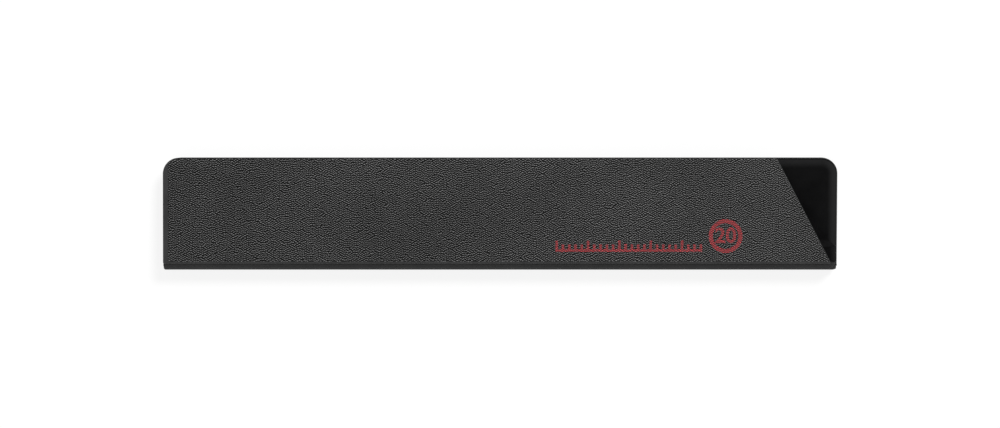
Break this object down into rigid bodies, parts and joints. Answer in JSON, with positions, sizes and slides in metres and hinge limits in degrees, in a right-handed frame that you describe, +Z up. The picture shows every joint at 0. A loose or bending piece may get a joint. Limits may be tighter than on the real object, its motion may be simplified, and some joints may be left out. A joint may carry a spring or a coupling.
{
  "type": "knife blade guard",
  "caption": "Folding blade guard for a kitchen knife: two stiff leaves creased to a narrow spine, flock-lined, shut by hidden disc magnets, with a slanted mouth for the blade.",
  "frame": {"origin": "centre of the closed guard's bounding box, on the plane it lies on", "axes": "+X along the fold towards the mouth where the blade slides in, +Y across to the free edges, +Z up from the rear leaf through the front leaf"},
  "size_m": [0.216, 0.036, 0.0085],
  "materials": {
    "grained_sheet": "charcoal polypropylene sheet with a fine pebbled grain, semi-matt",
    "pressed_crease": "the same sheet pressed thin and smooth by the hot creasing rule",
    "flock": "short black flock fibre on a formed backing sheet",
    "core_sheet": "plain grey punched core sheet",
    "magnet": "nickel-plated sintered magnet"
  },
  "bodies": {
    "rear_leaf": {"rear_cover": "grained_sheet", "rear_crease": "pressed_crease", "rear_core": "core_sheet", "rear_lining": "flock", "rear_magnet_1": "magnet", "rear_magnet_2": "magnet", "rear_magnet_3": "magnet", "rear_magnet_4": "magnet"},
    "spine": {"spine_strip": "grained_sheet", "spine_lining": "flock"},
    "front_leaf": {"front_cover": "grained_sheet", "front_crease": "pressed_crease", "front_core": "core_sheet", "front_lining": "flock", "front_magnet_1": "magnet", "front_magnet_2": "magnet", "front_magnet_3": "magnet", "front_magnet_4": "magnet"}
  },
  "joints": [
    {"name": "rear_fold", "type": "hinge", "parent": "rear_leaf", "child": "spine", "pos_m": [0, -0.01678, 0.00122], "axis": [1, 0, 0], "range_deg": [0, 91.31], "deforming": ["rear_crease"]},
    {"name": "front_fold", "type": "hinge", "parent": "spine", "child": "front_leaf", "pos_m": [0, -0.01664, 0.00732], "axis": [1, 0, 0], "range_deg": [0, 91.31], "deforming": ["front_crease"]}
  ]
}
